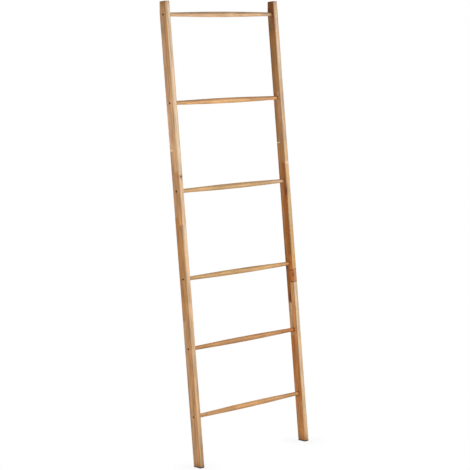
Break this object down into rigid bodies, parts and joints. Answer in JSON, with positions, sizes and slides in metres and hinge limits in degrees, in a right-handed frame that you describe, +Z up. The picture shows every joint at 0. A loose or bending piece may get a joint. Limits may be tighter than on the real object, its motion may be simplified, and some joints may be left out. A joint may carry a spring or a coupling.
{
  "type": "blanket ladder",
  "caption": "Leaning wooden ladder for hanging blankets and towels, with two straight stiles and turned tapered rungs.",
  "frame": {"origin": "middle of the overall box in plan, on the floor under the foot pads", "axes": "+Z up, +X across the ladder, +Y back towards the wall it leans on; the open front faces -Y"},
  "size_m": [0.64, 0.2108, 1.8507],
  "materials": {
    "stile_wood": "oiled laminated hardwood, satin",
    "rung_wood": "turned and oiled pale hardwood, satin",
    "screw_black": "black oxide",
    "pad_rubber": "matt dark rubber"
  },
  "bodies": {
    "root": {"left_stile": "stile_wood", "left_foot_pad": "pad_rubber", "left_screw_1": "screw_black", "left_screw_2": "screw_black", "left_screw_3": "screw_black", "left_screw_4": "screw_black", "left_screw_5": "screw_black", "left_screw_6": "screw_black", "right_stile": "stile_wood", "right_foot_pad": "pad_rubber", "right_screw_1": "screw_black", "right_screw_2": "screw_black", "right_screw_3": "screw_black", "right_screw_4": "screw_black", "right_screw_5": "screw_black", "right_screw_6": "screw_black", "rung_1": "rung_wood", "rung_2": "rung_wood", "rung_3": "rung_wood", "rung_4": "rung_wood", "rung_5": "rung_wood", "rung_6": "rung_wood"}
  },
  "joints": []
}
